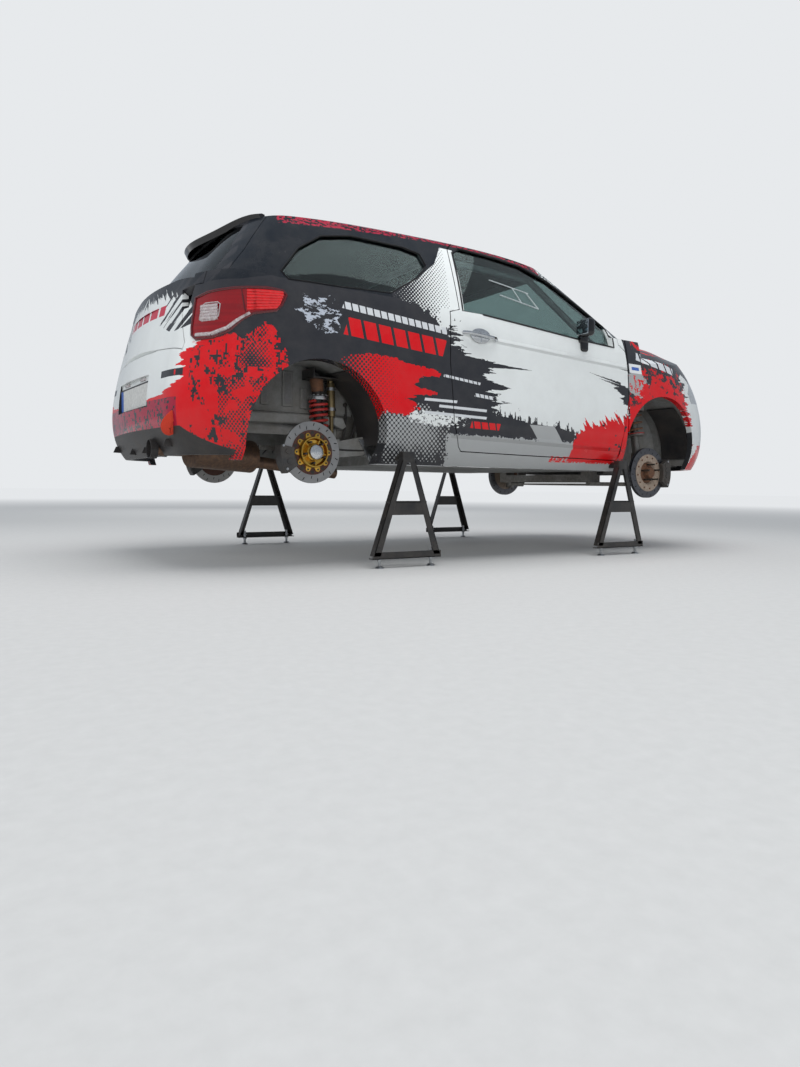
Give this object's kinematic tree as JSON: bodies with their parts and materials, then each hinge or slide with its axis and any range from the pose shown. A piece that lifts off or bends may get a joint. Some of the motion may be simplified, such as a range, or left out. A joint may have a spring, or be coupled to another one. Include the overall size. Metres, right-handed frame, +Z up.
{
  "type": "rally car on stands",
  "caption": "Three-door rally hatchback on A-frame stands with wheels off: hinged doors, bonnet and tailgate, steered uprights and free-turning hubs.",
  "frame": {"origin": "middle of the whole bounding box at floor level under the stand feet", "axes": "+X forward, +Y to the left of the car, +Z up"},
  "size_m": [3.987, 1.836, 1.7905],
  "materials": {
    "white_paint": "gloss with coloured splashes",
    "dark_paint": "satin anthracite",
    "inner_grey": "satin",
    "glass": "clear",
    "lamp": "clear",
    "tail_lamp": "gloss",
    "black_plastic": "satin",
    "gloss_black": "gloss",
    "plate": "satin",
    "steel": "worn",
    "disc": "machined",
    "engine": "cast",
    "exhaust": "brown, rusty",
    "red_spring": "gloss",
    "rust_spring": "rusty",
    "brass": "satin",
    "seat": "cloth",
    "cage": "satin",
    "stand": "satin"
  },
  "bodies": {
    "chassis": {"body_sides": "dark_paint", "front_wings": "dark_paint", "scuttle_panel": "black_plastic", "roof_panel": "dark_paint", "front_bumper": "white_paint", "headlamps": "lamp", "rear_bumper": "white_paint", "rear_diffuser": "black_plastic", "tail_lamps": "tail_lamp", "windscreen": "glass", "quarter_glass": "glass", "floor_pan": "inner_grey", "roll_cage": "cage", "seats": "seat", "dashboard": "black_plastic", "engine_block": "engine", "front_subframe": "steel", "exhaust": "exhaust", "rear_arms": "inner_grey", "rear_springs": "red_spring", "rear_dampers": "brass", "rear_calipers": "black_plastic", "number_plate": "plate", "stands": "stand"},
    "door_right": {"door_right": "white_paint", "door_glass_right": "glass", "mirror_right": "black_plastic"},
    "door_left": {"door_left": "white_paint", "door_glass_left": "glass", "mirror_left": "black_plastic"},
    "bonnet": {"bonnet": "white_paint"},
    "tailgate": {"tailgate": "white_paint", "tailgate_glass": "glass", "roof_spoiler": "gloss_black"},
    "upright_right": {"strut_right": "steel", "front_spring_right": "rust_spring", "front_caliper_right": "black_plastic"},
    "upright_left": {"strut_left": "steel", "front_spring_left": "rust_spring", "front_caliper_left": "black_plastic"},
    "hub_front_right": {"front_hub_right": "disc"},
    "hub_front_left": {"front_hub_left": "disc"},
    "hub_rear_right": {"rear_hub_right": "disc"},
    "hub_rear_left": {"rear_hub_left": "disc"},
    "steering_wheel": {"steering_wheel": "black_plastic"}
  },
  "joints": [
    {"name": "door_right_hinge", "type": "hinge", "parent": "chassis", "child": "door_right", "pos_m": [0.7309, -0.824, 1.127], "axis": [0, 0, 1], "range_deg": [0, 62]},
    {"name": "door_left_hinge", "type": "hinge", "parent": "chassis", "child": "door_left", "pos_m": [0.7309, 0.824, 1.127], "axis": [0, 0, -1], "range_deg": [0, 62]},
    {"name": "bonnet_hinge", "type": "hinge", "parent": "chassis", "child": "bonnet", "pos_m": [1.0609, 0, 1.343], "axis": [0, -1, 0], "range_deg": [0, 50]},
    {"name": "tailgate_hinge", "type": "hinge", "parent": "chassis", "child": "tailgate", "pos_m": [-1.4451, 0, 1.745], "axis": [0, 1, 0], "range_deg": [0, 70]},
    {"name": "steer_right", "type": "hinge", "parent": "chassis", "child": "upright_right", "pos_m": [1.1669, -0.648, 0.427], "axis": [-0.0257, 0.1312, 0.991], "range_deg": [-30, 30]},
    {"name": "steer_left", "type": "hinge", "parent": "chassis", "child": "upright_left", "pos_m": [1.1669, 0.648, 0.427], "axis": [-0.0257, -0.1312, 0.991], "range_deg": [-30, 30]},
    {"name": "steering_wheel_turn", "type": "hinge", "parent": "chassis", "child": "steering_wheel", "pos_m": [0.1109, 0.4, 1.127], "axis": [-0.9, 0, 0.436], "range_deg": [-390, 390]},
    {"name": "hub_front_right_spin", "type": "hinge", "parent": "upright_right", "child": "hub_front_right", "pos_m": [1.1629, -0.718, 0.512], "axis": [0, 0.9998, -0.0175], "continuous": true},
    {"name": "hub_front_left_spin", "type": "hinge", "parent": "upright_left", "child": "hub_front_left", "pos_m": [1.1629, 0.718, 0.512], "axis": [0, 0.9998, 0.0175], "continuous": true},
    {"name": "hub_rear_right_spin", "type": "hinge", "parent": "chassis", "child": "hub_rear_right", "pos_m": [-1.3011, -0.69, 0.564], "axis": [0, 0.9998, -0.0175], "continuous": true},
    {"name": "hub_rear_left_spin", "type": "hinge", "parent": "chassis", "child": "hub_rear_left", "pos_m": [-1.3011, 0.69, 0.564], "axis": [0, 0.9998, 0.0175], "continuous": true}
  ],
  "couplings": [
    {"joint": "steer_left", "follows": "steer_right", "ratio": 1},
    {"joint": "steering_wheel_turn", "follows": "steer_right", "ratio": 13}
  ]
}
